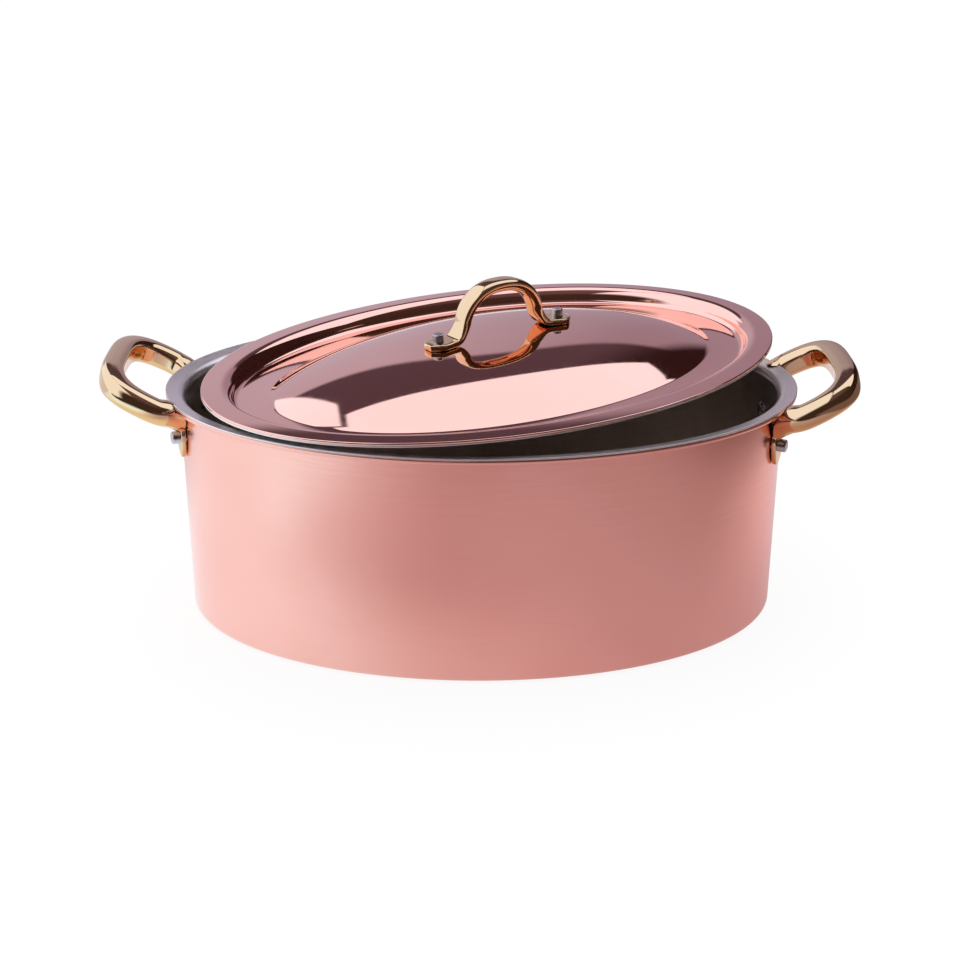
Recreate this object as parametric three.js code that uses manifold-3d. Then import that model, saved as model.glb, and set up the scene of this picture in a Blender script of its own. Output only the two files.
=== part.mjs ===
// Oval copper casserole with a lid laid askew on its rim, in millimetres, +Z up.
// The origin is the middle of the flat base, +X runs along the long axis, and -Y is the front.
import * as THREE from "three";
import { mergeVertices } from "three/addons/utils/BufferGeometryUtils.js";
import Module from "manifold-3d";

const wasm = await Module();
wasm.setup();

// Clearances, alike for the whole object.
const touchGap = 0.3; // between two pieces that rest on each other
const holeClearance = 0.35; // round a rivet's shank
const cutOverrun = 2; // how far a cutter runs past what it cuts

// Facets, as counts.
const ovalSteps = 56; // round the pot and the lid
const bendSteps = 3; // in one bend of the sheet
const domeSteps = 5; // from the lid's middle to its crease
const rivetSides = 12;
const castingSides = 14; // round a cast handle's section
const loopStations = 10; // along a side handle's loop
const stationSteps = 2; // from one station of a handle to the next
const archSteps = 18; // along the lid handle's arch

// The pot.
const rimLength = 300;
const rimWidth = 206;
const potHeight = 112;
const potCopper = 2; // thickness of the copper
const potLining = 0.5; // thickness of the steel inside it
const lipOverhang = 6.3; // how far the lip stands out of the wall
const lipSlope = THREE.MathUtils.degToRad(10); // the lip rises outwards
const lipBend = 1.6; // under the lip, from wall to lip
const wallDraft = 1.5; // the wall leans in by this much at the base
const baseBend = 4.5; // from wall to base

// The lid.
const lidReach = 2.5; // how far the lid's edge stands past the rim's, when seated
const lidCopper = 1.2;
const lidLining = 0.4;
const flangeWidth = 13.2; // from the edge to the step
const flangeFall = 0.9; // the flange falls this much from the step to the edge
const stepWidth = 1.6; // the step leans by this much
const stepDepth = 7.6; // from the flange down to the groove
const stepTopBend = 6;
const stepFootBend = 2.8;
const grooveWidth = 16.2; // from the step to the dome's crease
const domeRise = 16.6; // from the crease to the dome's top
const domePower = 2.8; // 2 is a paraboloid, more is a flatter top with steeper sides
const lidYaw = THREE.MathUtils.degToRad(35.8);
const lidShiftX = 8.5; // the lid's middle, from the pot's
const lidShiftY = 16.5;

// The two cast side handles: an oval loop that rises outwards, whose arms bend down into two flat feet.
const footSpread = 24.5; // from the handle's middle to a rivet
const footWidth = 10.5;
const footPlate = 2.4; // thickness
const footTip = 9.6; // from the rivet down to the foot's tip
const footTipWidth = 4;
const footTipShift = 1; // the tip leans this much to the handle's middle
const footTipShare = 0.85; // of the foot's thickness, at its tip
const footTaper = 5.8; // from the rivet down to where the foot draws in
const footTaperShare = 0.8; // of the foot's width, there
const footShoulder = 6; // from the rivet up to where the foot thickens
const footShoulderShare = 1.3; // of the foot's thickness, there
const loopHalfWidth = 35.4; // to the middle of the casting
const loopFrontLength = 22.2; // from the loop's middle to the middle of the grip
const loopRearLength = 15; // to where its arms would meet in the pot
const loopDrop = 3; // from the rim's height down to the loop's middle
const loopRise = THREE.MathUtils.degToRad(28);
const gripLean = THREE.MathUtils.degToRad(14); // of the grip's section
const loopPower = 3.3; // 2 makes the grip's half an oval, more makes it squarer
const loopSweep = THREE.MathUtils.degToRad(118); // from the grip's middle to where an arm turns down
const armWidth = 12.6;
const armHeight = 11.6;
const gripWidth = 10.6;
const gripHeight = 12;
const gripFlatness = 0.14; // how much squarer the grip's section is than the arms', as a share

// Each side handle was set by hand, so the two don't sit quite alike.
const leftShift = 2; // towards the back, from the long axis
const rightShift = 7; // towards the front
const leftRivetDrop = 19; // from the rim's height down to the rivets
const rightRivetDrop = 20.7;
const leftLift = 0.8; // the left loop sits this much higher
const leftOverhang = 1.5; // the loop's middle stands past the end of the rim
const rightInset = 1.7; // and on the right, short of it

// The lid's cast handle: an arch between two pads.
const lidRivetSpread = 35.7; // from the handle's middle to a rivet
const padThickness = 3;
const padWidth = 14;
const padEndWidth = 5;
const padInner = 11; // from the rivet to the pad's end under the arch
const padOuter = 6.6; // from the rivet to the pad's free end
const padNeckShare = 0.75; // of the pad's width, under the arch
const padWideShare = 0.1; // of the way from the rivet to the free end, where the pad is widest
const padTaperShare = 0.5; // of that way, where the pad has drawn in
const padTaperWidthShare = 0.8; // to this share of its width
const archReach = 22.8; // from the handle's middle to the middle of a leg
const archRise = 25.3; // from the pads' underside to the middle of the arch's top
const archPower = 2.35; // 2 makes the arch half an oval, more makes it squarer
const strapWidth = 11; // the arch's section at its top
const strapThickness = 6.4;
const legWidth = 8.8; // and at its legs
const legThickness = 5.6;

// Rivets: a straight tail outside and a domed head inside.
const rivetRadius = 3;
const lidRivetRadius = 2.7;
const rivetTail = 3.7; // stands out of what it holds
const tailChamfer = 0.5;
const headRadius = 4.2;
const headHeight = 1.8;

// Section shapes: the power of a round casting and of a flat bar, and the inner face's share of the height.
const roundPower = 2.2;
const flatPower = 7;
const innerFaceShare = 0.45;
const coreShare = 0.5; // of a plate's outline, where its faces have a second ring

const colours = {
  bodyCopper: 0xd99a8a,
  lidCopper: 0xc98f8c,
  steel: 0xa8a6aa,
  brass: 0xd0a468,
  rivet: 0x8d8b90,
};
const finish = {
  bodyCopper: { roughness: 0.38, metalness: 1 },
  lidCopper: { roughness: 0.08, metalness: 1 },
  steel: { roughness: 0.32, metalness: 1 },
  brass: { roughness: 0.12, metalness: 1 },
  rivet: { roughness: 0.3, metalness: 1 },
};

const rimA = rimLength / 2;
const rimB = rimWidth / 2;
const lidA = rimA + lidReach;
const lidB = rimB + lidReach;
const potSheet = potCopper + touchGap + potLining;
const lidSheet = lidCopper + touchGap + lidLining;
const grooveZ = flangeFall - stepDepth;
const creaseR = -(flangeWidth + stepWidth + grooveWidth);

// The sideways shifts below are for a handle at the right end, which is then turned to its own end.
const handleSeats = [
  {
    name: "left",
    turn: Math.PI,
    shift: -leftShift,
    drop: leftRivetDrop,
    lift: leftLift,
    reach: leftOverhang,
  },
  { name: "right", turn: 0, shift: -rightShift, drop: rightRivetDrop, lift: 0, reach: -rightInset },
].map((seat) => ({ ...seat, rivetHeight: potHeight - seat.drop }));

function materialOf(kind) {
  return new THREE.MeshStandardMaterial({ color: colours[kind], ...finish[kind] });
}

// A closed mesh from its corners and its triangles.
function geometryOf(corners, faces) {
  const positions = new Float32Array(corners.flatMap((p) => [p.x, p.y, p.z]));
  return new THREE.BufferGeometry()
    .setAttribute("position", new THREE.BufferAttribute(positions, 3))
    .setIndex(faces.flat());
}

function solidOf(geometry) {
  const bare = geometry.clone();
  bare.deleteAttribute("normal");
  bare.deleteAttribute("uv");
  const merged = mergeVertices(bare);
  return new wasm.Manifold(
    new wasm.Mesh({
      numProp: 3,
      vertProperties: merged.attributes.position.array,
      triVerts: new Uint32Array(merged.index.array),
    }),
  );
}

function geometryFrom(solid) {
  const mesh = solid.getMesh();
  const positions = new Float32Array(mesh.numVert * 3);
  for (let i = 0; i < mesh.numVert; i += 1) {
    positions.set(mesh.vertProperties.subarray(i * mesh.numProp, i * mesh.numProp + 3), i * 3);
  }
  return new THREE.BufferGeometry()
    .setAttribute("position", new THREE.BufferAttribute(positions, 3))
    .setIndex(new THREE.BufferAttribute(mesh.triVerts, 1));
}

function namedMesh(name, geometry, kind) {
  const mesh = new THREE.Mesh(geometry, materialOf(kind));
  mesh.name = name;
  return mesh;
}

// The outline of bent sheet: straight runs between corners, each corner rounded to its bend,
// and the whole outline moved sideways by offset, to the right of the way it runs.
// Corners are { r, z, bend }, with r measured outwards from the piece's edge, so r is 0 at the edge.
function bentPath(corners, offset) {
  const runs = corners.slice(1).map((end, i) => {
    const start = corners[i];
    const along = new THREE.Vector2(end.r - start.r, end.z - start.z).normalize();
    const across = new THREE.Vector2(along.y, -along.x);
    const from = new THREE.Vector2(start.r, start.z).addScaledVector(across, offset);
    return { from, along, across };
  });
  const points = [{ r: corners[0].r, z: runs[0].from.y }];
  for (let i = 1; i < runs.length; i += 1) {
    const before = runs[i - 1];
    const after = runs[i];
    const turn = before.along.cross(after.along);
    const gap = after.from.clone().sub(before.from);
    const meet = before.from.clone().addScaledVector(before.along, gap.cross(after.along) / turn);
    const left = Math.sign(turn);
    const bend = corners[i].bend + left * offset;
    const swing = Math.asin(Math.abs(turn));
    const setback = bend * Math.tan(swing / 2);
    const centre = meet
      .clone()
      .addScaledVector(before.along, -setback)
      .addScaledVector(before.across, -left * bend);
    for (let k = 0; k <= bendSteps; k += 1) {
      const angle = (swing * k) / bendSteps;
      const point = centre
        .clone()
        .addScaledVector(before.across, left * bend * Math.cos(angle))
        .addScaledVector(before.along, bend * Math.sin(angle));
      points.push({ r: point.x, z: point.y });
    }
  }
  const last = runs[runs.length - 1];
  const edge = corners[corners.length - 1].r;
  const toEdge = (edge - last.from.x) / last.along.x;
  points.push({ r: edge, z: last.from.y + last.along.y * toEdge });
  return points;
}

// A closed oval body from rings that run outwards on its underside and back inwards on its top.
// Its first and last ring are single points on the axis.
function ovalSolid(rings) {
  const corners = [];
  const faces = [];
  const starts = rings.map(({ a, b, z }) => {
    const start = corners.length;
    const count = a > 0 ? ovalSteps : 1;
    for (let j = 0; j < count; j += 1) {
      const angle = (2 * Math.PI * j) / ovalSteps;
      corners.push(new THREE.Vector3(a * Math.cos(angle), b * Math.sin(angle), z));
    }
    return { start, count };
  });
  for (let i = 1; i < starts.length; i += 1) {
    const inner = starts[i - 1];
    const outer = starts[i];
    const at = (ring, j) => ring.start + (j % ring.count);
    for (let j = 0; j < ovalSteps; j += 1) {
      if (inner.count > 1) faces.push([at(inner, j), at(inner, j + 1), at(outer, j + 1)]);
      if (outer.count > 1) faces.push([at(inner, j), at(outer, j + 1), at(outer, j)]);
    }
  }
  return geometryOf(corners, faces);
}

// The pot's wall as one bent sheet. Depth is measured inwards from the copper's outside.
function potLayer(depth) {
  const sheet = potSheet / Math.cos(lipSlope);
  const corners = [
    { r: -rimA, z: 0 },
    { r: -(lipOverhang + wallDraft), z: 0, bend: baseBend },
    { r: -lipOverhang, z: potHeight - sheet - lipOverhang * Math.tan(lipSlope), bend: lipBend },
    { r: 0, z: potHeight - sheet },
  ];
  const [middle, ...wall] = bentPath(corners, -depth);
  return [{ a: 0, b: 0, z: middle.z }, ...wall.map(({ r, z }) => ({ a: rimA + r, b: rimB + r, z }))];
}

// The lid's sheet, from the middle of the dome to the flange's edge. Depth is measured down from
// the copper's top.
function lidLayer(depth) {
  const crease = { a: lidA + creaseR, b: lidB + creaseR };
  const dome = Array.from({ length: domeSteps }, (_, i) => {
    const share = i / domeSteps;
    const z = grooveZ + domeRise * (1 - share ** domePower) - depth;
    return { a: crease.a * share, b: crease.b * share, z };
  });
  const corners = [
    { r: creaseR, z: grooveZ },
    { r: -(flangeWidth + stepWidth), z: grooveZ, bend: stepFootBend },
    { r: -flangeWidth, z: flangeFall, bend: stepTopBend },
    { r: 0, z: 0 },
  ];
  const rest = bentPath(corners, depth).map(({ r, z }) => ({ a: lidA + r, b: lidB + r, z }));
  return [...dome, ...rest];
}

function sheetSolid(underside, top) {
  return solidOf(ovalSolid([...underside, ...top.slice().reverse()]));
}

// A place on the pot's right end, at y across and z up, and this far out of the copper.
function onWall(y, z, out) {
  const inset = lipOverhang + wallDraft * (1 - z / potHeight) - out;
  const x = (rimA - inset) * Math.sqrt(1 - (y / (rimB - inset)) ** 2);
  return new THREE.Vector3(x, y, z);
}

// The way that the copper faces there.
function wallNormal(y) {
  const { x } = onWall(y, potHeight, 0);
  return new THREE.Vector3(x / (rimA - lipOverhang) ** 2, y / (rimB - lipOverhang) ** 2, 0).normalize();
}

// A place on the lid's dome, this far above the copper.
function onDome(x, y, out) {
  const share = Math.hypot(x / (lidA + creaseR), y / (lidB + creaseR));
  return new THREE.Vector3(x, y, grooveZ + domeRise * (1 - share ** domePower) + out);
}

function domeNormal(x) {
  const share = Math.abs(x) / (lidA + creaseR);
  const slope = (domeRise * domePower * share ** (domePower - 1)) / (lidA + creaseR);
  return new THREE.Vector3(Math.sign(x) * slope, 0, 1).normalize();
}

// A solid through a row of rings with the same number of corners, closed at both ends.
function loftSolid(rings) {
  const count = rings[0].length;
  const last = (rings.length - 1) * count;
  const faces = [];
  for (let low = 0; low < last; low += count) {
    for (let j = 0; j < count; j += 1) {
      const next = (j + 1) % count;
      faces.push([low + j, low + next, low + count + next]);
      faces.push([low + j, low + count + next, low + count + j]);
    }
  }
  for (let j = 1; j < count - 1; j += 1) {
    faces.push([0, j + 1, j]);
    faces.push([last, last + j, last + j + 1]);
  }
  return solidOf(geometryOf(rings.flat(), faces));
}

// A plate that follows a curved surface. Its outline runs round a middle, and place(u, v, out) puts a
// point of it on the surface or a distance out of it.
function plateSolid(middle, outline, thickness, place) {
  const layer = (out) => [1, coreShare].map((share) =>
    outline.map(([u, v]) => place(middle[0] + u * share, middle[1] + v * share, out)));
  const [rimLow, coreLow] = layer(touchGap);
  const [rimHigh, coreHigh] = layer(touchGap + thickness);
  return loftSolid([coreLow, rimLow, rimHigh, coreHigh]);
}

// A cast section: an oval that is cut flat on its inner side, which is +u. The cut's share of the
// height is flatShare, and a section whose share is 1 is a flat bar.
function castSection(width, height, flatShare) {
  const power = THREE.MathUtils.mapLinear(flatShare, innerFaceShare, 1, roundPower, flatPower);
  const bulge = (value) => Math.sign(value) * Math.abs(value) ** (2 / power);
  const cut = (1 - innerFaceShare ** roundPower) ** (1 / roundPower);
  return Array.from({ length: castingSides }, (_, j) => {
    const angle = (2 * Math.PI * (j + 0.5)) / castingSides;
    const across = Math.min(bulge(Math.cos(angle)), cut);
    return [(width / (1 + cut)) * (across + (1 - cut) / 2), (height / 2) * bulge(Math.sin(angle))];
  });
}

// The stations that a side handle's section passes, from its front tip over the grip to its back tip.
// Each has a place, the way its section's top faces, its width and height, and how square its outside is.
function handlePath({ shift, rivetHeight, lift, reach }) {
  const foot = (hand, across, up, thickness, width) => ({
    place: onWall(shift + hand * across, rivetHeight + up, touchGap + thickness / 2),
    top: wallNormal(shift + hand * footSpread).negate(),
    width,
    height: thickness,
    flatShare: 1,
  });
  const feet = (hand) => [
    foot(hand, footSpread - footTipShift, -footTip, footPlate * footTipShare, footTipWidth),
    foot(hand, footSpread - footTipShift / 2, -footTaper, footPlate, footWidth * footTaperShare),
    foot(hand, footSpread, 0, footPlate, footWidth),
    foot(hand, footSpread, footShoulder, footPlate * footShoulderShare, footWidth),
  ];
  const loop = Array.from({ length: loopStations + 1 }, (_, i) => {
    const angle = loopSweep * ((2 * i) / loopStations - 1);
    const share = Math.max(Math.cos(angle), 0);
    const power = share > 0 ? loopPower : 2;
    const bulge = (value) => Math.sign(value) * Math.abs(value) ** (2 / power);
    const out = (share > 0 ? loopFrontLength : loopRearLength) * bulge(Math.cos(angle));
    const lean = THREE.MathUtils.lerp(loopRise, gripLean, share);
    const place = new THREE.Vector3(
      rimA + reach + out,
      shift + loopHalfWidth * bulge(Math.sin(angle)),
      potHeight - loopDrop + lift + out * Math.tan(loopRise),
    );
    return {
      place,
      top: new THREE.Vector3(-Math.sin(lean), 0, Math.cos(lean)),
      width: THREE.MathUtils.lerp(armWidth, gripWidth, share),
      height: THREE.MathUtils.lerp(armHeight, gripHeight, share),
      flatShare: innerFaceShare + gripFlatness * share,
    };
  });
  return [...feet(-1), ...loop, ...feet(1).reverse()];
}

function sideHandle(seat) {
  const stations = handlePath(seat);
  const curve = new THREE.CatmullRomCurve3(stations.map((station) => station.place));
  const steps = (stations.length - 1) * stationSteps;
  const rings = Array.from({ length: steps + 1 }, (_, i) => {
    const before = stations[Math.floor(i / stationSteps)];
    const after = stations[Math.ceil(i / stationSteps)];
    const share = (i % stationSteps) / stationSteps;
    const centre = curve.getPoint(i / steps);
    const along = curve.getTangent(i / steps);
    const inner = before.top.clone().lerp(after.top, share).cross(along).normalize();
    const top = along.clone().cross(inner);
    const mixed = (key) => THREE.MathUtils.lerp(before[key], after[key], share);
    return castSection(mixed("width"), mixed("height"), mixed("flatShare")).map(([u, v]) =>
      centre.clone().addScaledVector(inner, u).addScaledVector(top, v));
  });
  const seats = [-1, 1].map((hand) => wallRivetSeat(seat, hand));
  return drilled(loftSolid(rings).subtract(potOutside()), seats, rivetRadius);
}

// All that lies inside the pot's outside, and a little more, to cut a handle clear of the wall and the lip.
function potOutside() {
  const wall = potLayer(-touchGap);
  const edge = { a: rimA + touchGap, b: rimB + touchGap };
  const { z } = wall.pop();
  const above = [{ ...edge, z }, { ...edge, z: potHeight }, { a: 0, b: 0, z: potHeight }];
  return solidOf(ovalSolid([...wall, ...above]));
}

// Where a side handle's rivet starts inside the pot, and the way it points.
function wallRivetSeat(seat, hand) {
  const y = seat.shift + hand * footSpread;
  const direction = wallNormal(y);
  const place = onWall(y, seat.rivetHeight, 0).addScaledVector(direction, -(potSheet + 2 * touchGap));
  return { place, direction };
}

const lidSeats = [-1, 1].map((hand) => {
  const x = hand * lidRivetSpread;
  const direction = domeNormal(x);
  const place = onDome(x, 0, 0).addScaledVector(direction, -(lidSheet + 2 * touchGap));
  return { place, direction };
});

const wallRivetLength = potSheet + footPlate + 3 * touchGap + rivetTail;
const lidRivetLength = lidSheet + padThickness + 3 * touchGap + rivetTail;

// Turns a lathe or a cylinder, whose axis is +Y, to point along a direction from a place.
function aimed(geometry, { place, direction }) {
  const turn = new THREE.Quaternion().setFromUnitVectors(new THREE.Vector3(0, 1, 0), direction);
  const pose = new THREE.Matrix4().compose(place, turn, new THREE.Vector3(1, 1, 1));
  return geometry.clone().applyMatrix4(pose);
}

// A rivet from its seat: the domed head behind it, the straight shank ahead with a chamfered tail.
function rivet(name, seat, radius, length) {
  const head = Array.from({ length: bendSteps + 1 }, (_, i) => {
    const angle = ((Math.PI / 2) * i) / bendSteps;
    return new THREE.Vector2(headRadius * Math.sin(angle), -headHeight * Math.cos(angle));
  });
  const shank = [
    new THREE.Vector2(radius, 0),
    new THREE.Vector2(radius, length - tailChamfer),
    new THREE.Vector2(radius - tailChamfer, length),
    new THREE.Vector2(0, length),
  ];
  const lathe = new THREE.LatheGeometry([...head, ...shank], rivetSides);
  return namedMesh(name, aimed(geometryFrom(solidOf(lathe)), seat), "rivet");
}

// A solid with a hole for the rivet at each seat.
function drilled(solid, seats, radius) {
  const bore = radius + holeClearance;
  const drill = new THREE.CylinderGeometry(bore, bore, 2 * (wallRivetLength + cutOverrun), rivetSides);
  const cut = (rest, seat) => rest.subtract(solidOf(aimed(drill, seat)));
  return geometryFrom(seats.reduce(cut, solid));
}

// The lid's handle: an arch whose legs run into two pads that follow the dome.
function lidHandle() {
  const underside = onDome(lidRivetSpread, 0, touchGap).z;
  const bulge = (value) => Math.sign(value) * Math.abs(value) ** (2 / archPower);
  const legs = underside + padThickness / 2;
  const curve = new THREE.CatmullRomCurve3(
    Array.from({ length: archSteps + 1 }, (_, i) => {
      const angle = Math.PI * (i / archSteps);
      const rise = (archRise - padThickness / 2) * bulge(Math.sin(angle));
      return new THREE.Vector3(archReach * bulge(Math.cos(angle)), 0, legs + rise);
    }),
  );
  const across = new THREE.Vector3(0, 1, 0);
  const rings = curve.points.map((centre, i) => {
    const out = across.clone().cross(curve.getTangent(i / archSteps));
    const share = (centre.z - legs) / archRise;
    const width = THREE.MathUtils.lerp(legWidth, strapWidth, share);
    const thickness = THREE.MathUtils.lerp(legThickness, strapThickness, share);
    return castSection(thickness, width, 1).map(([u, v]) =>
      centre.clone().addScaledVector(out, -u).addScaledVector(across, -v));
  });
  let casting = loftSolid(rings);
  [-1, 1].forEach((hand) => {
    casting = casting.add(padSolid(hand));
  });
  return drilled(casting, lidSeats, lidRivetRadius);
}

// A pad's outline: straight sides under the arch, drawn in to a short square end past the rivet.
function padSolid(hand) {
  const side = padWidth / 2;
  const edge = [
    [-padInner, side * padNeckShare],
    [padOuter * padWideShare, side],
    [padOuter * padTaperShare, side * padTaperWidthShare],
    [padOuter, padEndWidth / 2],
  ];
  const outline = [...edge.map(([u, v]) => [u, -v]), ...edge.reverse()];
  const turned = outline.map(([u, v]) => [hand * u, hand * v]);
  return plateSolid([hand * lidRivetSpread, 0], turned, padThickness, onDome);
}

const casserole = new THREE.Group();
const upright = new THREE.Vector3(0, 0, 1);

// Each side handle and its rivets are made at the right end and turned to their own end.
const wallSeats = [];
handleSeats.forEach((seat) => {
  const end = new THREE.Group();
  end.rotation.z = seat.turn;
  end.add(namedMesh(seat.name + "_handle", sideHandle(seat), "brass"));
  [-1, 1].forEach((hand) => {
    const rivetSeat = wallRivetSeat(seat, hand);
    const place = rivetSeat.place.clone().applyAxisAngle(upright, seat.turn);
    const direction = rivetSeat.direction.clone().applyAxisAngle(upright, seat.turn);
    const name = [seat.name, "handle", place.y < 0 ? "front" : "back", "rivet"].join("_");
    end.add(rivet(name, rivetSeat, rivetRadius, wallRivetLength));
    wallSeats.push({ place, direction });
  });
  casserole.add(end);
});

const potShell = sheetSolid(potLayer(0), potLayer(potCopper));
const potInside = sheetSolid(potLayer(potCopper + touchGap), potLayer(potSheet));
casserole.add(namedMesh("pot_copper_shell", drilled(potShell, wallSeats, rivetRadius), "bodyCopper"));
casserole.add(namedMesh("pot_steel_lining", drilled(potInside, wallSeats, rivetRadius), "steel"));

// The lid lies across the pot: turned about the upright axis, its groove resting on the rim.
const lid = new THREE.Group();
lid.rotation.z = lidYaw;
lid.position.set(lidShiftX, lidShiftY, potHeight + touchGap + lidSheet - grooveZ);
const lidShell = sheetSolid(lidLayer(lidCopper), lidLayer(0));
const lidInside = sheetSolid(lidLayer(lidSheet), lidLayer(lidCopper + touchGap));
lid.add(namedMesh("lid_copper_shell", drilled(lidShell, lidSeats, lidRivetRadius), "lidCopper"));
lid.add(namedMesh("lid_steel_lining", drilled(lidInside, lidSeats, lidRivetRadius), "steel"));
lid.add(namedMesh("lid_handle", lidHandle(), "brass"));
["left", "right"].forEach((place, i) => {
  lid.add(rivet("lid_" + place + "_rivet", lidSeats[i], lidRivetRadius, lidRivetLength));
});
casserole.add(lid);

export default casserole;
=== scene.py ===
# Looks of the oval copper casserole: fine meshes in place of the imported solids, metal finishes,
# a white studio and a camera at the photograph's angle.
import math

import bpy
from mathutils import Matrix, Vector


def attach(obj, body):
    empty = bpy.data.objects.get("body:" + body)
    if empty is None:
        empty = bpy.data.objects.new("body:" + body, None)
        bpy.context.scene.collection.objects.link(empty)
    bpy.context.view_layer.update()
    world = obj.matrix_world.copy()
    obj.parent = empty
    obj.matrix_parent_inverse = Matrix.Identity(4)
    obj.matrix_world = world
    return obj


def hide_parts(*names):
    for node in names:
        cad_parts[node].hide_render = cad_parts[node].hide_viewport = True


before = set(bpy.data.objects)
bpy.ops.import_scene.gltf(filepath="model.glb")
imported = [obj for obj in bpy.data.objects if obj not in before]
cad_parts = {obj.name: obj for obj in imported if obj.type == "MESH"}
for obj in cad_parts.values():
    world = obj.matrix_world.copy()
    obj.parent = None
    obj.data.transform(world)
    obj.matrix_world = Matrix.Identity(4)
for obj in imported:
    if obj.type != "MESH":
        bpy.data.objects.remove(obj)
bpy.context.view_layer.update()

# Lengths are in millimetres up to the point where a mesh is made.
MM = 0.001
TAU = 2 * math.pi

# The pot.
RIM_A = 150
RIM_B = 103
POT_HEIGHT = 112
POT_COPPER = 2
POT_SHEET = 2.8
LIP_OVERHANG = 6.3
LIP_SLOPE = math.radians(10)
LIP_BEND = 1.6
WALL_DRAFT = 1.5
BASE_BEND = 4.5

# The lid.
LID_REACH = 2.5
LID_A = RIM_A + LID_REACH
LID_B = RIM_B + LID_REACH
LID_COPPER = 1.2
LID_SHEET = 1.9
FLANGE_WIDTH = 13.2
FLANGE_FALL = 0.9
STEP_WIDTH = 1.6
STEP_DEPTH = 7.6
STEP_TOP_BEND = 6
STEP_FOOT_BEND = 2.8
GROOVE_WIDTH = 16.2
DOME_RISE = 16.6
DOME_POWER = 2.8
LID_YAW = math.radians(35.8)
LID_SHIFT = (8.5, 16.5)
GROOVE_Z = FLANGE_FALL - STEP_DEPTH
CREASE_R = -(FLANGE_WIDTH + STEP_WIDTH + GROOVE_WIDTH)
CREASE_A = LID_A + CREASE_R
CREASE_B = LID_B + CREASE_R
# The crease is softened over this much to each side, on the slope that the dome has there.
CREASE_HALF = 0.35
CREASE_SLOPE = 0.38
CREASE_FILL = 0.06

# The side handles.
FOOT_SPREAD = 24.5
FOOT_WIDTH = 10.5
FOOT_PLATE = 2.4
FOOT_TIP = 9.6
FOOT_TIP_WIDTH = 4
FOOT_TIP_PLATE = FOOT_PLATE * 0.85
FOOT_TIP_SHIFT = 1
FOOT_TAPER = 5.8
FOOT_TAPER_WIDTH = FOOT_WIDTH * 0.8
FOOT_SHOULDER = 6
FOOT_SHOULDER_PLATE = FOOT_PLATE * 1.3
LOOP_HALF_WIDTH = 35.4
LOOP_FRONT = 22.2
LOOP_REAR = 15
LOOP_HEIGHT = 109
LOOP_RISE = math.radians(28)
GRIP_LEAN = math.radians(14)
LOOP_POWER = 3.3
LOOP_SWEEP = math.radians(118)
ARM_SIZE = (12.6, 11.6)
GRIP_SIZE = (10.6, 12)
GRIP_FLATNESS = 0.14
INNER_FACE_SHARE = 0.45
CUT_SOFTNESS = 0.03
ROUND_POWER = 2.2
FLAT_POWER = 7
HANDLE_SEATS = {
    "left": {"turn": math.pi, "shift": -2, "rivet_height": 93, "lift": 0.8, "reach": 1.5},
    "right": {"turn": 0, "shift": -7, "rivet_height": 91.3, "lift": 0, "reach": -1.7},
}
# From a foot's tip up to its arm: (how far from the middle, how far above the rivet, thickness, width).
FOOT_STATIONS = (
    (FOOT_SPREAD - FOOT_TIP_SHIFT, -FOOT_TIP, FOOT_TIP_PLATE, FOOT_TIP_WIDTH),
    (FOOT_SPREAD - FOOT_TIP_SHIFT / 2, -FOOT_TAPER, FOOT_PLATE, FOOT_TAPER_WIDTH),
    (FOOT_SPREAD, 0, FOOT_PLATE, FOOT_WIDTH),
    (FOOT_SPREAD, FOOT_SHOULDER, FOOT_SHOULDER_PLATE, FOOT_WIDTH),
)

# The lid's handle.
LID_RIVET_SPREAD = 35.7
PAD_THICKNESS = 3
PAD_TIP_THICKNESS = PAD_THICKNESS * 0.9
PAD_WIDTH = 14
PAD_END_WIDTH = 5
PAD_OUTER = 6.6
PAD_SHOULDER = PAD_OUTER * 0.5
PAD_SHOULDER_WIDTH = PAD_WIDTH * 0.8
PAD_FULL = PAD_OUTER * 0.1
PAD_INNER = 4
PAD_INNER_WIDTH = PAD_WIDTH * 0.93
LEG_FOOT_OUT = 3.4
LEG_FOOT_LIFT = 1
LEG_FOOT_WIDTH = PAD_WIDTH * 0.78
LEG_FOOT_THICKNESS = PAD_THICKNESS * 1.15
LEG_FOOT_SHARE = 0.2
ARCH_REACH = 22.8
ARCH_RISE = 25.3
ARCH_POWER = 2.35
ARCH_START = 0.075
STRAP_SIZE = (11, 6.4)
LEG_SIZE = (8.8, 5.6)
STRAP_INNER_SHARE = 0.62
STRAP_CROWN = 2.8
# From a pad's tip inwards: (how far outside the rivet, width, thickness).
PAD_STATIONS = (
    (PAD_OUTER, PAD_END_WIDTH, PAD_TIP_THICKNESS),
    (PAD_SHOULDER, PAD_SHOULDER_WIDTH, PAD_THICKNESS),
    (PAD_FULL, PAD_WIDTH, PAD_THICKNESS),
    (-PAD_INNER, PAD_INNER_WIDTH, PAD_THICKNESS),
)

# Rivets.
RIVET_RADIUS = 3
LID_RIVET_RADIUS = 2.7
RIVET_TAIL = 3.7
HEAD_RADIUS = 4.2
HEAD_HEIGHT = 1.8
HEAD_LAND = 0.15
SHANK_ROOT = 0.4
TAIL_CHAMFER = 0.5
CHAMFER_INSET = 0.06
CHAMFER_DROP = 0.08
CHAMFER_SUPPORT = 0.15
TAIL_FACE_SHARE = 0.4

# What lies between two pieces that touch, and between the two metals of a sheet.
TOUCH_GAP = 0.3
LAYER_GAP = 0.04

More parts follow.
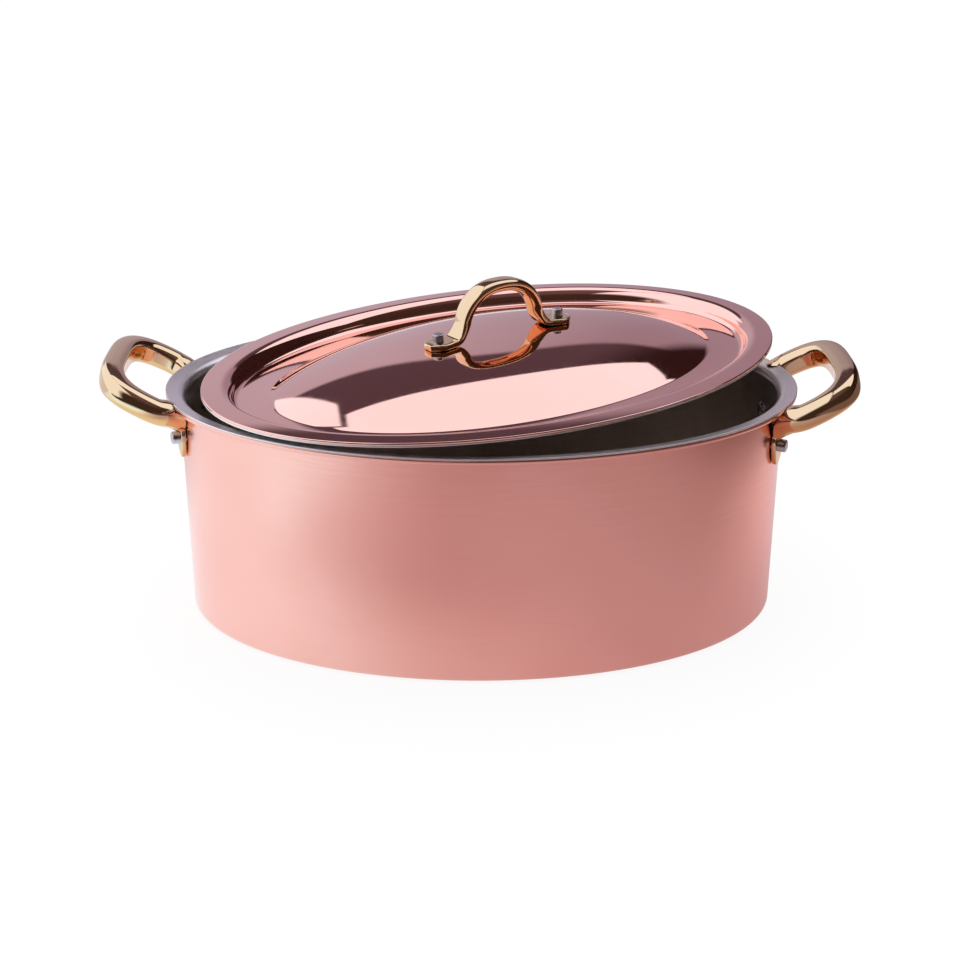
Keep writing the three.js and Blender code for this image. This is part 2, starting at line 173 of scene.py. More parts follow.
# How finely the meshes are cut.
OVAL_STEPS = 320
FLOOR_RINGS = 6
DOME_RINGS = 40
BEND_STEPS = 12
LEAST_BEND = 0.05
EDGE_ROUND = 0.3
EDGE_SHARES = (0, 0.3, 0.7, 1)
EDGE_START = 0.15
SUPPORT = 0.3
SECTION_STEPS = 56
LOOP_STATIONS = 10
ARCH_STATIONS = 16
SWEEP_STEPS = 150
LATHE_STEPS = 48
HEAD_STEPS = 8
KNOT_SLACK = 1e-9
SHARP_ANGLE = math.radians(50)

# The metals. Roughness is (low, high), and grain and waves are (noise scale, height in metres).
METALS = {
    "body_copper": {
        "tones": ((0.935, 0.475, 0.395), (0.96, 0.51, 0.43)),
        "roughness": (0.20, 0.26),
        "grain": ((40, 40, 900), 2e-6),
        "waves": (12, 2e-5),
    },
    "lid_copper": {
        "tones": ((0.91, 0.54, 0.46), (0.94, 0.57, 0.49)),
        "roughness": (0.03, 0.06),
        "grain": (300, 2e-7),
        "waves": (14, 2e-5),
    },
    "lining_steel": {
        "tones": ((0.79, 0.74, 0.735), (0.86, 0.81, 0.82)),
        "roughness": (0.28, 0.38),
        "grain": ((90, 90, 1500), 3e-6),
        "waves": (14, 2e-5),
    },
    "handle_brass": {
        "tones": ((0.75, 0.545, 0.34), (0.80, 0.585, 0.38)),
        "roughness": (0.05, 0.11),
        "grain": (260, 2e-6),
        "waves": (60, 4e-5),
    },
    "rivet_steel": {
        "tones": ((0.42, 0.38, 0.40), (0.56, 0.52, 0.56)),
        "roughness": (0.2, 0.36),
        "grain": (700, 6e-6),
        "waves": (90, 4e-5),
    },
}
DRIFT_SCALE = 11
DRIFT_DETAIL = 3
DRIFT_RANGE = (0.35, 0.65)
GRAIN_DETAIL = 4
GRAIN_RANGE = (0.3, 0.7)
WAVE_DETAIL = 1
# Painted light on the lining and the brass: a painted warm reflection by depth below the rim, and
# painted shade and reflection on the brass by how far down it faces.
LINING_REFLECTION_DEPTHS = (4, 14)
LINING_PAINTED_REFLECTION = (0.83, 0.71, 0.635)
# The brass turns deeper and more golden as it faces down: painted shade and reflection.
BRASS_REFLECTION_FACING = (0.05, -0.3)
BRASS_PAINTED_REFLECTION = (0.72, 0.42, 0.19)

# The camera, as fitted to the photograph.
CAMERA_ELEVATION = math.radians(21.91)
CAMERA_AZIMUTH = math.radians(-0.91)
CAMERA_ROLL = math.radians(0.08)
CAMERA_DISTANCE = 891.62
CAMERA_TARGET = Vector((0, 0, 60))
CAMERA_CLIP = (0.05, 50)
FOCAL_PIXELS = 1827.12
CENTRE_PIXEL = (481.73, 482.49)
FRAME_PIXELS = 960

# The studio, which is white to the camera. Metal sees a large box overhead, another on the left, a
# pale backdrop behind, and between them the dark of the room, which is a little lighter high in front.
WHITE = (1, 1, 1)
BOX_LIGHT = (1.18, 1.25, 1.38)
ROOM_DARK = (0.10, 0.065, 0.085)
RIGHT_DARK = (0.03, 0.012, 0.012)
FRONT_DARK = (0.05, 0.03, 0.022)
FRONT_HIGH = (0.15, 0.09, 0.10)
BACKDROP_LEFT = (0.54, 0.49, 0.59)
BACKDROP_RIGHT = (0.36, 0.29, 0.37)

# Soft edges between them, each as (the way it faces, where it begins, where it is full).
X, Y, Z = (1, 0, 0), (0, 1, 0), (0, 0, 1)
BACKDROP_CHANGE = [(X, -0.15, 0.25)]
ROOM_CHANGE = [(X, 0.2, 0.4)]
FRONT_CHANGE = [(Z, 0.55, 0.95)]
BACKDROP_EDGES = [((0, 0.51, -1), -0.02, 0.03), ((-1, 0.42, 0), -0.04, 0.06)]
FRONT_EDGES = [(Y, 0.3, -0.2)]
LEFT_BOX_EDGES = [
    ((-1, -0.40, 0.065), 0, 0.015),
    ((-1, -0.172, -0.157), 0.004, 0.016),
    (Y, -0.75, -0.5),
]
LEFT_BOX_FOOT = [(Z, 0.28, 0.34)]
LEFT_BOX_END = [(X, -0.45, -0.6)]
TOP_BOX_EDGES = [
    ((1, 0.172, 0.157), 0.004, 0.016),
    ((0.625, -1, 0.9), 0, 0.015),
    ((-1, -0.625, 1.5625), 0, 0.015),
    ((0, 1, -0.03), 0, 0.03),
    (Z, 0.4, 0.45),
]

# The floor, and the sheen that metal sees in it: colours laid over one another, each within the
# edges beside it, in metres, and set by comparing the pot's wall with the photograph. The tone at the
# right changes from near to far before it is laid.
FLOOR_HALF = 4000
FLOOR_DROP = 0.5
FLOOR_GLOW = 1.03
SHADOW_SHARE = 0.15
SHEEN_FIRST = (0.59, 0.465, 0.50)
SHEEN_MIDDLE = ((0.68, 0.55, 0.57), [(X, 0.1, 0), (Y, -0.20, -0.13)])
SHEEN_RIGHT_NEAR = (0.50, 0.39, 0.41)
SHEEN_RIGHT_FAR = ((0.87, 0.74, 0.78), [(Y, -0.12, 0.08)])
SHEEN_RIGHT_EDGES = [(X, 0.05, 0.28)]
SHEEN_ZONES = [
    ((0.92, 0.88, 0.94), [(X, -0.02, -0.29)]),
    ((1.09, 1.39, 1.52), [(X, -0.18, -0.30)]),
    ((1.06, 1.22, 1.32), [(X, 0.04, -0.16), (Y, -0.20, -0.08)]),
    (FRONT_DARK, [(Y, -0.34, -0.66)]),
    ((0.85, 0.83, 0.88), [(Y, 0.05, 0.2)]),
    ((0.2, 0.13, 0.12), [(X, 0.29, 0.42)]),
]


# Meshes.
def add_mesh(name, shape):
    """An object from corners in millimetres and faces."""
    corners, faces = shape
    mesh = bpy.data.meshes.new(name)
    mesh.from_pydata([[c * MM for c in corner] for corner in corners], [], faces)
    mesh.update()
    obj = bpy.data.objects.new(name, mesh)
    bpy.context.scene.collection.objects.link(obj)
    return obj


def add_piece(name, shape, body, slot, replaced):
    """A smooth piece in its slot's metal, which rides a body and stands for a CAD node."""
    obj = add_mesh(name, shape)
    for polygon in obj.data.polygons:
        polygon.use_smooth = True
    obj.data.materials.append(FINISHES[slot])
    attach(obj, body)
    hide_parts(replaced)
    return obj


def apply_modifiers(obj):
    depsgraph = bpy.context.evaluated_depsgraph_get()
    finished = bpy.data.meshes.new_from_object(obj.evaluated_get(depsgraph))
    obj.modifiers.clear()
    obj.data = finished


def moved(shape, turn, shift=(0, 0, 0)):
    corners, faces = shape
    return [turn @ Vector(corner) + Vector(shift) for corner in corners], faces


def between(first, second, share):
    """A list that lies part of the way from one to another."""
    return [a + (b - a) * share for a, b in zip(first, second)]


def signed_power(value, power):
    """A cosine or sine bent towards a squarer oval as the power rises from 2."""
    return math.copysign(abs(value) ** (2 / power), value)


def round_body(rings, steps):
    """Corners and faces of a closed body. Rings are (a, b, z), and one with no width is a point."""
    corners, starts = [], []
    for a, b, z in rings:
        count = steps if a > 0 else 1
        starts.append((len(corners), count))
        for j in range(count):
            angle = TAU * j / steps
            corners.append((a * math.cos(angle), b * math.sin(angle), z))
    faces = []
    for (low, low_count), (high, high_count) in zip(starts, starts[1:]):
        for j in range(steps):
            ring = [low + j % low_count, low + (j + 1) % low_count]
            ring += [high + (j + 1) % high_count, high + j % high_count]
            faces.append(list(dict.fromkeys(ring)))
    return corners, faces


# Bent sheet.
def bent_path(corners, offset):
    """The outline of bent sheet, as (r, z) points: straight runs with each corner rounded to its
    bend, all of it moved sideways by offset. Corners are (r, z, bend), with r from the edge."""
    runs = []
    for start, end in zip(corners, corners[1:]):
        along = Vector((end[0] - start[0], end[1] - start[1])).normalized()
        across = Vector((along.y, -along.x))
        runs.append((Vector(start[:2]) + across * offset, along, across))
    bends = []
    for i in range(1, len(runs)):
        (start, along, across), (after, onward, _) = runs[i - 1], runs[i]
        turn = along.cross(onward)
        meet = start + along * ((after - start).cross(onward) / turn)
        left = math.copysign(1, turn)
        bend = max(corners[i][2] + left * offset, LEAST_BEND)
        swing = math.asin(abs(turn))
        centre = meet - along * (bend * math.tan(swing / 2)) - across * (left * bend)
        arc = []
        for k in range(BEND_STEPS + 1):
            angle = swing * k / BEND_STEPS
            out = across * (left * bend * math.cos(angle))
            arc.append(centre + out + along * (bend * math.sin(angle)))
        bends.append((arc, along, onward))
    # Each bend is held by a ring on the straight beside it, which keeps clear of the next bend's.
    gaps = [(after[0][0] - before[0][-1]).length for before, after in zip(bends, bends[1:])]
    room = [SUPPORT, *(min(SUPPORT, gap / 3) for gap in gaps), SUPPORT]
    points = [(corners[0][0], runs[0][0].y)]
    for (arc, along, onward), before, after in zip(bends, room, room[1:]):
        points += [tuple(p) for p in (arc[0] - along * before, *arc, arc[-1] + onward * after)]
    start, along, _ = runs[-1]
    edge = corners[-1][0]
    points.append((edge, start.y + along.y * (edge - start.x) / along.x))
    return points


def sheet_body(underside, top):
    """A sheet between two layers of rings that meet at the edge, which is slightly rounded."""
    rounded = []
    for share in EDGE_SHARES:
        a, b, z = between(underside[-1], top[-1], share)
        inset = EDGE_ROUND * (1 - math.sin(math.pi * (EDGE_START + (1 - 2 * EDGE_START) * share)))
        rounded.append((a - inset, b - inset, z))
    sides = []
    for layer in (underside, top):
        inner, outer = layer[-2:]
        share = 1 - 2 * EDGE_ROUND / (outer[0] - inner[0])
        sides.append([*layer[:-1], between(inner, outer, share)])
    return round_body([*sides[0], *rounded, *reversed(sides[1])], OVAL_STEPS)


def pot_layer(depth):
    """Rings of the pot's sheet at a depth inside its outer face, from the middle to the lip's edge."""
    sheet = POT_SHEET / math.cos(LIP_SLOPE)
    corners = [
        (-RIM_A, 0, 0),
        (-(LIP_OVERHANG + WALL_DRAFT), 0, BASE_BEND),
        (-LIP_OVERHANG, POT_HEIGHT - sheet - LIP_OVERHANG * math.tan(LIP_SLOPE), LIP_BEND),
        (0, POT_HEIGHT - sheet, 0),
    ]
    (_, middle), *wall = bent_path(corners, -depth)
    rings = [(RIM_A + r, RIM_B + r, z) for r, z in wall]
    base_a, base_b, _ = rings[0]
    floor = []
    for i in range(1, FLOOR_RINGS):
        b = base_b * i / FLOOR_RINGS
        floor.append((base_a - base_b * (1 - i / FLOOR_RINGS), b, middle))
    return [(0, 0, middle), *floor, *rings]


def dome_z(share):
    """Height of the dome's top, by the share of the way from its middle to the crease."""
    return GROOVE_Z + DOME_RISE * (1 - share**DOME_POWER)


def lid_layer(depth):
    """Rings of the lid's sheet at a depth below its top face, from the middle to the flange's edge."""
    shares = [i / DOME_RINGS for i in range(DOME_RINGS)]
    dome = [(CREASE_A * share, CREASE_B * share, dome_z(share) - depth) for share in shares]
    groove = GROOVE_Z - depth
    crease = [
        (CREASE_A - CREASE_HALF, CREASE_B - CREASE_HALF, groove + CREASE_HALF * CREASE_SLOPE),
        (CREASE_A, CREASE_B, groove + CREASE_FILL),
        (CREASE_A + CREASE_HALF, CREASE_B + CREASE_HALF, groove),
    ]
    corners = [
        (CREASE_R, GROOVE_Z, 0),
        (-(FLANGE_WIDTH + STEP_WIDTH), GROOVE_Z, STEP_FOOT_BEND),
        (-FLANGE_WIDTH, FLANGE_FALL, STEP_TOP_BEND),
        (0, 0, 0),
    ]
    rest = [(LID_A + r, LID_B + r, z) for r, z in bent_path(corners, depth)]
    return [*dome, *crease, *rest[1:]]


# Castings.
def catmull_rom(points, steps):
    """Points of any dimension, joined by a centripetal spline whose knots follow the first three."""
    knots = [0]
    for p, q in zip(points, points[1:]):
        knots.append(knots[-1] + math.sqrt(math.dist(p[:3], q[:3])))
    ahead = [2 * a - b for a, b in zip(points[0], points[1])]
    beyond = [2 * a - b for a, b in zip(points[-1], points[-2])]
    points = [ahead, *points, beyond]
    knots = [2 * knots[0] - knots[1], *knots, 2 * knots[-1] - knots[-2]]
    out = []
    for i in range(steps + 1):
        t = knots[1] + (knots[-2] - knots[1]) * i / steps
        k = max(j for j in range(1, len(knots) - 2) if knots[j] <= t + KNOT_SLACK)
        p0, p1, p2, p3 = points[k - 1 : k + 3]
        t0, t1, t2, t3 = knots[k - 1 : k + 3]
        a = between(p0, p1, (t - t0) / (t1 - t0))
        b = between(p1, p2, (t - t1) / (t2 - t1))
        c = between(p2, p3, (t - t2) / (t3 - t2))
        d = between(a, b, (t - t0) / (t2 - t0))
        e = between(b, c, (t - t1) / (t3 - t1))
        out.append(between(d, e, (t - t1) / (t2 - t1)))
    return out


def cast_section(width, height, flat_share):
    """A cast section round its middle: an oval that is cut flat on its inner side, which is +u."""
    flatness = (flat_share - INNER_FACE_SHARE) / (1 - INNER_FACE_SHARE)
    power = ROUND_POWER + (FLAT_POWER - ROUND_POWER) * flatness
    cut = (1 - INNER_FACE_SHARE**ROUND_POWER) ** (1 / ROUND_POWER)
    points = []
    for j in range(SECTION_STEPS):
        angle = TAU * (j + 0.5) / SECTION_STEPS
        across = signed_power(math.cos(angle), power)
        across = 0.5 * (across + cut - math.sqrt((across - cut) ** 2 + CUT_SOFTNESS**2))
        u = width / (1 + cut) * (across + (1 - cut) / 2)
        points.append((u, height / 2 * signed_power(math.sin(angle), power)))
    return points


def strap_section(thickness, width):
    """The lid handle's section: flatter outside, which is -u, and rounded inside."""
    points = []
    for j in range(SECTION_STEPS):
        angle = TAU * (j + 0.5) / SECTION_STEPS
        inside = math.cos(angle) > 0
        depth = thickness * (STRAP_INNER_SHARE if inside else 1 - STRAP_INNER_SHARE)
        power = ROUND_POWER if inside else STRAP_CROWN
        u = depth * signed_power(math.cos(angle), power)
        points.append((u, width / 2 * signed_power(math.sin(angle), power)))
    return points


def sweep(places, tops, sections):
    """Corners and faces of a bar whose section follows a path. Tops say which way each one faces up."""
    corners = []
    last = len(places) - 1
    for i, place in enumerate(places):
        along = (places[min(i + 1, last)] - places[max(i - 1, 0)]).normalized()
        inner = tops[i].cross(along).normalized()
        top = along.cross(inner)
        corners += [place + inner * u + top * v for u, v in sections[i]]
    count = len(sections[0])
    faces = []
    for i in range(last):
        for j in range(count):
            k = (j + 1) % count
            faces.append([i * count + j, i * count + k, (i + 1) * count + k, (i + 1) * count + j])
    faces.append(list(reversed(range(count))))
    faces.append(list(range(last * count, (last + 1) * count)))
    return corners, faces


def on_wall(y, z, out):
    """A point this far outside the pot's wall, at the right end."""
    inset = LIP_OVERHANG + WALL_DRAFT * (1 - z / POT_HEIGHT) - out
    x = (RIM_A - inset) * math.sqrt(1 - (y / (RIM_B - inset)) ** 2)
    return Vector((x, y, z))


def wall_normal(y):
    x = on_wall(y, POT_HEIGHT, 0).x
    return Vector((x / (RIM_A - LIP_OVERHANG) ** 2, y / (RIM_B - LIP_OVERHANG) ** 2, 0)).normalized()


def side_handle(seat):
    """One bar: two feet flat on the wall, two arms and the grip, which is an oval loop that rises."""
    shift, height = seat["shift"], seat["rivet_height"]

    def foot(hand):
        top = -wall_normal(shift + hand * FOOT_SPREAD)
        stations = []
        for across, up, thickness, width in FOOT_STATIONS:
            place = on_wall(shift + hand * across, height + up, TOUCH_GAP + thickness / 2)
            stations.append([*place, *top, width, thickness, 1])
        return stations

    loop = []
    for i in range(LOOP_STATIONS + 1):
        angle = LOOP_SWEEP * (2 * i / LOOP_STATIONS - 1)
        share = max(math.cos(angle), 0)
        power = LOOP_POWER if share > 0 else 2
        out = (LOOP_FRONT if share > 0 else LOOP_REAR) * signed_power(math.cos(angle), power)
        lean = LOOP_RISE + (GRIP_LEAN - LOOP_RISE) * share
        x = RIM_A + seat["reach"] + out
        y = shift + LOOP_HALF_WIDTH * signed_power(math.sin(angle), power)
        z = LOOP_HEIGHT + seat["lift"] + out * math.tan(LOOP_RISE)
        size = between(ARM_SIZE, GRIP_SIZE, share)
        flat_share = INNER_FACE_SHARE + GRIP_FLATNESS * share
        loop.append([x, y, z, -math.sin(lean), 0, math.cos(lean), *size, flat_share])
    path = catmull_rom([*foot(-1), *loop, *reversed(foot(1))], SWEEP_STEPS)
    places = [Vector(p[:3]) for p in path]
    tops = [Vector(p[3:6]) for p in path]
    sections = [cast_section(p[6], p[7], min(max(p[8], INNER_FACE_SHARE), 1)) for p in path]
    return sweep(places, tops, sections)


def on_dome(x, out):
    """Height of a point this far above the dome, on the lid's long axis."""
    return dome_z(abs(x) / CREASE_A) + out


def dome_normal(x):
    share = abs(x) / CREASE_A
    slope = DOME_RISE * DOME_POWER * share ** (DOME_POWER - 1) / CREASE_A
    return Vector((math.copysign(slope, x), 0, 1)).normalized()


def lid_handle():
    """One bar: its flat ends follow the dome as pads, and its middle rises into the arch."""
    legs = on_dome(LID_RIVET_SPREAD, TOUCH_GAP) + PAD_THICKNESS / 2

    def pad(hand):
        stations = []
        for out, width, thickness in PAD_STATIONS:
            x = hand * (LID_RIVET_SPREAD + out)
            stations.append([x, 0, on_dome(x, TOUCH_GAP + thickness / 2), width, thickness, 0])
        x = hand * (ARCH_REACH + LEG_FOOT_OUT)
        z = legs + LEG_FOOT_LIFT
        return [*stations, [x, 0, z, LEG_FOOT_WIDTH, LEG_FOOT_THICKNESS, LEG_FOOT_SHARE]]

    arch = []
    for i in range(ARCH_STATIONS + 1):
        angle = math.pi * (ARCH_START + (1 - 2 * ARCH_START) * i / ARCH_STATIONS)
        rise = (ARCH_RISE - PAD_THICKNESS / 2) * signed_power(math.sin(angle), ARCH_POWER)
        x = -ARCH_REACH * signed_power(math.cos(angle), ARCH_POWER)
        size = between(LEG_SIZE, STRAP_SIZE, rise / ARCH_RISE)
        arch.append([x, 0, legs + rise, *size, 1])
    path = catmull_rom([*pad(-1), *arch, *reversed(pad(1))], SWEEP_STEPS)
    places = [Vector(p[:3]) for p in path]
    tops = [Vector(Y)] * len(places)
    sections = []
    for *_, width, thickness, strap_share in path:
        share = min(max(strap_share, 0), 1)
        pairs = zip(cast_section(thickness, width, 1), strap_section(thickness, width))
        sections.append([between(flat, strap, share) for flat, strap in pairs])
    return sweep(places, tops, sections)


def rivet(place, direction, radius, length):
    """A rivet from its domed head, which starts at a place, to the chamfer at its tail."""
    profile = []
    for i in range(HEAD_STEPS + 1):
        angle = math.pi / 2 * i / HEAD_STEPS
        profile.append((HEAD_RADIUS * math.sin(angle), -HEAD_HEIGHT * math.cos(angle)))
    chamfer = length - TAIL_CHAMFER
    face = radius - TAIL_CHAMFER
    profile += [
        (HEAD_RADIUS - HEAD_LAND, 0),
        (radius, 0),
        (radius, SHANK_ROOT),
        (radius, chamfer - CHAMFER_SUPPORT),
        (radius - CHAMFER_INSET, chamfer),
        (face + CHAMFER_INSET, length - CHAMFER_DROP),
        (face - CHAMFER_SUPPORT, length),
        (radius * TAIL_FACE_SHARE, length),
        (0, length),
    ]
    body = round_body([(r, r, height) for r, height in profile], LATHE_STEPS)
    return moved(body, Vector(Z).rotation_difference(direction), place)


# Materials.
def node(tree, kind, inputs=None, **settings):
    """Adds a shader node. Each input is a value, or the socket of another node to link."""
    added = tree.nodes.new("ShaderNode" + kind)
    for key, value in settings.items():
        setattr(added, key, value)
    for key, value in (inputs or {}).items():
        if isinstance(value, bpy.types.NodeSocket):
            tree.links.new(value, added.inputs[key])
        else:
            added.inputs[key].default_value = value
    return added


def blended(tree, factor, first, second):
    """A colour between two, each given as numbers or as a socket."""
    inputs = {"Factor": factor, "A": first, "B": second}
    mix = node(tree, "Mix", data_type="RGBA")
    for key, value in inputs.items():
        socket = next(i for i in mix.inputs if i.name == key and (key == "Factor" or i.type == "RGBA"))
        if isinstance(value, bpy.types.NodeSocket):
            tree.links.new(value, socket)
        else:
            socket.default_value = value if key == "Factor" else (*value, 1)
    return next(o for o in mix.outputs if o.type == "RGBA")


def ramped(tree, value, low, high, start=0, end=1, kind="SMOOTHSTEP"):
    """A value that goes from start to end as another goes from low to high."""
    limits = {"Value": value, "From Min": low, "From Max": high, "To Min": start, "To Max": end}
    return node(tree, "MapRange", limits, interpolation_type=kind).outputs["Result"]


def noise(tree, coords, scale, detail):
    """Noise whose scale is one number, or one for each axis where the grain is drawn out."""
    if isinstance(scale, tuple):
        coords = node(tree, "Mapping", {"Vector": coords, "Scale": scale}).outputs["Vector"]
        scale = 1
    return node(tree, "TexNoise", {"Vector": coords, "Scale": scale, "Detail": detail}).outputs["Fac"]


def metal(name, tones, roughness, grain, waves):
    """A metal whose colour drifts between two tones, with grain and shallow waves in its surface."""
    material = bpy.data.materials.new(name)
    material.use_nodes = True
    tree = material.node_tree
    shader = tree.nodes["Principled BSDF"]
    shader.inputs["Metallic"].default_value = 1
    coords = node(tree, "TexCoord").outputs["Object"]
    drift = ramped(tree, noise(tree, coords, DRIFT_SCALE, DRIFT_DETAIL), *DRIFT_RANGE)
    tree.links.new(blended(tree, drift, *tones), shader.inputs["Base Color"])
    brush = noise(tree, coords, grain[0], GRAIN_DETAIL)
    dullness = ramped(tree, brush, *GRAIN_RANGE, *roughness, "LINEAR")
    tree.links.new(dullness, shader.inputs["Roughness"])
    normal = node(tree, "Bump", {"Height": brush, "Distance": grain[1], "Strength": 1}).outputs["Normal"]
    swell = noise(tree, coords, waves[0], WAVE_DETAIL)
    broad = {"Height": swell, "Distance": waves[1], "Strength": 1, "Normal": normal}
    tree.links.new(node(tree, "Bump", broad).outputs["Normal"], shader.inputs["Normal"])
    return material


def paint_light(finish, output, low, high, painted_tone):
    """Paints light into a metal: another tone as the Z of a texture coordinate goes from low to high."""
    tree = FINISHES[finish].node_tree
    base = tree.nodes["Principled BSDF"].inputs["Base Color"]
    coords = node(tree, "TexCoord").outputs[output]
    height = node(tree, "SeparateXYZ", {"Vector": coords}).outputs["Z"]
    share = ramped(tree, height, low, high)
    tree.links.new(blended(tree, share, base.links[0].from_socket, painted_tone), base)


def combined(tree, operation, first, second):
    return node(tree, "Math", {0: first, 1: second}, operation=operation).outputs["Value"]


def within(tree, place, edges):
    """How far a place or a direction lies inside soft edges, from 0 to 1."""
    share = None
    for towards, low, high in edges:
        reached = node(tree, "VectorMath", {0: place, 1: towards}, operation="DOT_PRODUCT")
        inside = ramped(tree, reached.outputs["Value"], low, high)
        share = inside if share is None else combined(tree, "MULTIPLY", share, inside)
    return share


def layered(tree, place, colour, zones):
    """Colours laid over a first one, each within its edges."""
    for over, edges in zones:
        colour = blended(tree, within(tree, place, edges), colour, over)
    return colour


FINISHES = {name: metal(name, **look) for name, look in METALS.items()}
# Below its lip the pot's lining has a painted warm reflection, and the undersides of the brass have
# painted shade and reflection in a deeper tone. Both follow the photograph.
paint_light("lining_steel", "Object", *((POT_HEIGHT - depth) * MM for depth in LINING_REFLECTION_DEPTHS), LINING_PAINTED_REFLECTION)
paint_light("handle_brass", "Normal", *BRASS_REFLECTION_FACING, BRASS_PAINTED_REFLECTION)

# The pot.
copper = sheet_body(pot_layer(0), pot_layer(POT_COPPER))
add_piece("pot_copper", copper, "pot", "body_copper", "pot_copper_shell")
lining = sheet_body(pot_layer(POT_COPPER + LAYER_GAP), pot_layer(POT_SHEET))
add_piece("pot_lining", lining, "pot", "lining_steel", "pot_steel_lining")

# What the castings are cut clear of: all inside the pot's outside and its lip.
clear_a, clear_b = RIM_A + TOUCH_GAP, RIM_B + TOUCH_GAP
cutter_rings = pot_layer(-TOUCH_GAP)
lip_z = cutter_rings.pop()[2]
cutter_rings += [(clear_a, clear_b, lip_z), (clear_a, clear_b, POT_HEIGHT), (0, 0, POT_HEIGHT)]
cutter = add_mesh("cutter", round_body(cutter_rings, OVAL_STEPS))

wall_rivet_length = POT_SHEET + FOOT_PLATE + 3 * TOUCH_GAP + RIVET_TAIL
for side, seat in HANDLE_SEATS.items():
    turn = Matrix.Rotation(seat["turn"], 3, "Z")
    shape = moved(side_handle(seat), turn)
    handle = add_piece(f"{side}_grip", shape, "pot", "handle_brass", f"{side}_handle")
    cut = handle.modifiers.new("cut", "BOOLEAN")
    cut.object = cutter
    cut.solver = "EXACT"
    apply_modifiers(handle)
    handle.data.set_sharp_from_angle(angle=SHARP_ANGLE)
    for hand in (-1, 1):
        y = seat["shift"] + hand * FOOT_SPREAD
        normal = wall_normal(y)
        place = on_wall(y, seat["rivet_height"], 0) - normal * (POT_SHEET + 2 * TOUCH_GAP)
        shape = moved(rivet(place, normal, RIVET_RADIUS, wall_rivet_length), turn)
        end = "front" if (turn @ place).y < 0 else "back"
        add_piece(f"{side}_{end}_rivet", shape, "pot", "rivet_steel", f"{side}_handle_{end}_rivet")

bpy.data.objects.remove(cutter)

# The lid, made level at the origin and then laid across the pot.
lid_turn = Matrix.Rotation(LID_YAW, 3, "Z")
lid_place = (*LID_SHIFT, POT_HEIGHT + TOUCH_GAP + LID_SHEET - GROOVE_Z)


def add_lid_piece(name, shape, slot, replaced):
    add_piece(name, moved(shape, lid_turn, lid_place), "lid", slot, replaced)


copper = sheet_body(lid_layer(LID_COPPER), lid_layer(0))
add_lid_piece("lid_copper", copper, "lid_copper", "lid_copper_shell")
lining = sheet_body(lid_layer(LID_SHEET), lid_layer(LID_COPPER + LAYER_GAP))
add_lid_piece("lid_lining", lining, "lining_steel", "lid_steel_lining")
add_lid_piece("lid_arch", lid_handle(), "handle_brass", "lid_handle")
lid_rivet_length = LID_SHEET + PAD_THICKNESS + 3 * TOUCH_GAP + RIVET_TAIL
for side, hand in (("left", -1), ("right", 1)):
    x = hand * LID_RIVET_SPREAD
    normal = dome_normal(x)
    place = Vector((x, 0, on_dome(x, 0))) - normal * (LID_SHEET + 2 * TOUCH_GAP)
    shape = rivet(place, normal, LID_RIVET_RADIUS, lid_rivet_length)
    add_lid_piece(f"lid_{side}_tail", shape, "rivet_steel", f"lid_{side}_rivet")

# The camera. A first pair of axes is level, and the roll then turns it.
camera = bpy.data.objects.new("camera", bpy.data.cameras.new("camera"))
bpy.context.scene.collection.objects.link(camera)
bpy.context.scene.camera = camera
flat = math.cos(CAMERA_ELEVATION)
back = Vector(
    (math.sin(CAMERA_AZIMUTH) * flat, -math.cos(CAMERA_AZIMUTH) * flat, math.sin(CAMERA_ELEVATION))
)
level = Vector((math.cos(CAMERA_AZIMUTH), math.sin(CAMERA_AZIMUTH), 0))
right = level * math.cos(CAMERA_ROLL) + back.cross(level) * math.sin(CAMERA_ROLL)
pose = Matrix((right, back.cross(right), back)).transposed().to_4x4()
pose.translation = (CAMERA_TARGET + back * CAMERA_DISTANCE) * MM
camera.matrix_world = pose
camera.data.lens = FOCAL_PIXELS / FRAME_PIXELS * camera.data.sensor_width
camera.data.shift_x = (FRAME_PIXELS / 2 - CENTRE_PIXEL[0]) / FRAME_PIXELS
camera.data.shift_y = (CENTRE_PIXEL[1] - FRAME_PIXELS / 2) / FRAME_PIXELS
camera.data.clip_start, camera.data.clip_end = CAMERA_CLIP

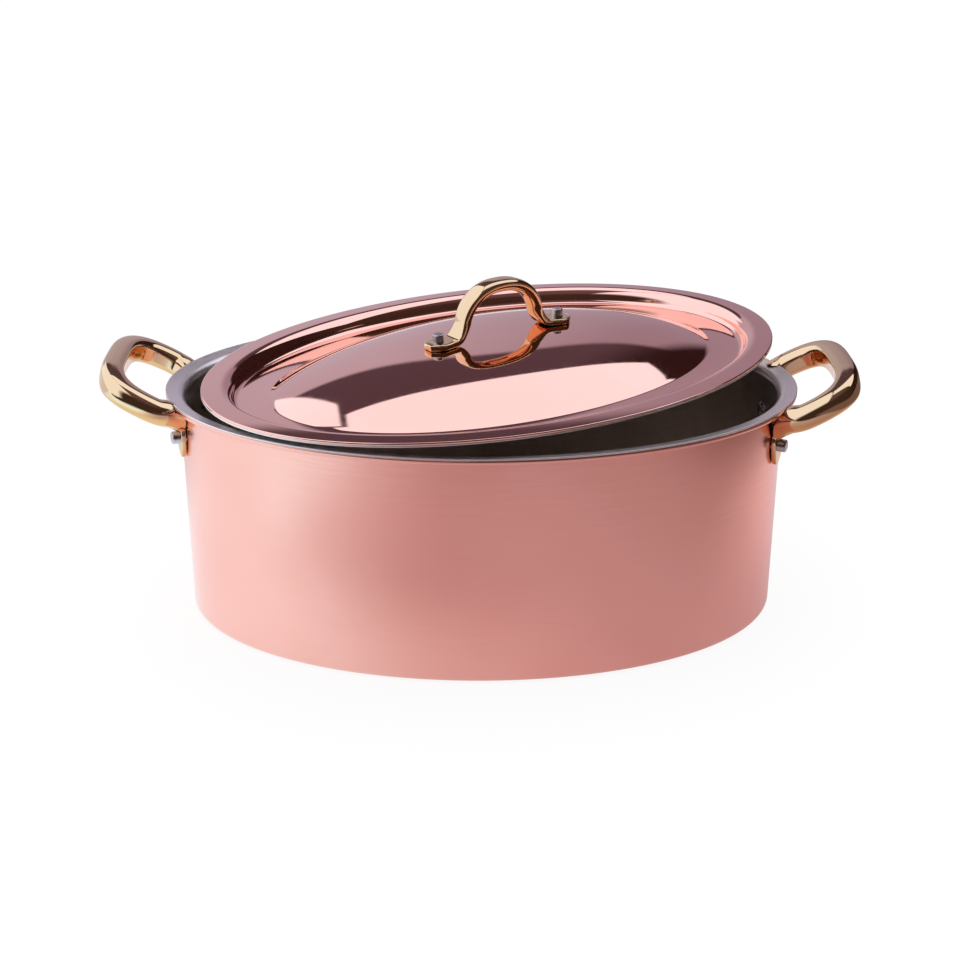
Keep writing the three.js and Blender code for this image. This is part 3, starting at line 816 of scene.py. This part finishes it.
# The world.
world = bpy.data.worlds.new("world")
bpy.context.scene.world = world
world.use_nodes = True
tree = world.node_tree
direction = node(tree, "TexCoord").outputs["Generated"]
backdrop = layered(tree, direction, BACKDROP_LEFT, [(BACKDROP_RIGHT, BACKDROP_CHANGE)])
room = layered(tree, direction, ROOM_DARK, [(RIGHT_DARK, ROOM_CHANGE)])
front = layered(tree, direction, FRONT_DARK, [(FRONT_HIGH, FRONT_CHANGE)])
studio = layered(tree, direction, room, [(backdrop, BACKDROP_EDGES), (front, FRONT_EDGES)])
left_end = combined(
    tree, "MAXIMUM", within(tree, direction, LEFT_BOX_FOOT), within(tree, direction, LEFT_BOX_END)
)
left_box = combined(tree, "MULTIPLY", within(tree, direction, LEFT_BOX_EDGES), left_end)
studio = blended(tree, left_box, studio, BOX_LIGHT)
studio = layered(tree, direction, studio, [(BOX_LIGHT, TOP_BOX_EDGES)])
rays = node(tree, "LightPath").outputs
studio = blended(tree, rays["Is Glossy Ray"], WHITE, studio)
tree.links.new(studio, tree.nodes["Background"].inputs["Color"])

# The floor.
low, high = -FLOOR_HALF, FLOOR_HALF
corners = [(low, low, 0), (high, low, 0), (high, high, 0), (low, high, 0)]
floor = add_mesh("floor", (corners, [(0, 1, 2, 3)]))
floor.location.z = -FLOOR_DROP * MM
material = bpy.data.materials.new("floor")
floor.data.materials.append(material)
material.use_nodes = True
tree = material.node_tree
tree.nodes.remove(tree.nodes["Principled BSDF"])
place = node(tree, "TexCoord").outputs["Object"]
sheen_right = layered(tree, place, SHEEN_RIGHT_NEAR, [SHEEN_RIGHT_FAR])
zones = [SHEEN_MIDDLE, (sheen_right, SHEEN_RIGHT_EDGES), *SHEEN_ZONES]
sheen = node(tree, "Emission", {"Color": layered(tree, place, SHEEN_FIRST, zones)})
matt = node(tree, "BsdfDiffuse", {"Color": (*WHITE, 1)})
white = node(tree, "Emission", {"Color": (*WHITE, 1), "Strength": FLOOR_GLOW})
rays = node(tree, "LightPath").outputs
seen = node(tree, "MixShader", {0: SHADOW_SHARE, 1: white.outputs[0], 2: matt.outputs[0]})
surface = node(tree, "MixShader", {0: rays["Is Camera Ray"], 1: matt.outputs[0], 2: seen.outputs[0]})
surface = node(tree, "MixShader", {0: rays["Is Glossy Ray"], 1: surface.outputs[0], 2: sheen.outputs[0]})
tree.links.new(surface.outputs[0], tree.nodes["Material Output"].inputs["Surface"])

bpy.context.scene.view_settings.view_transform = "Standard"
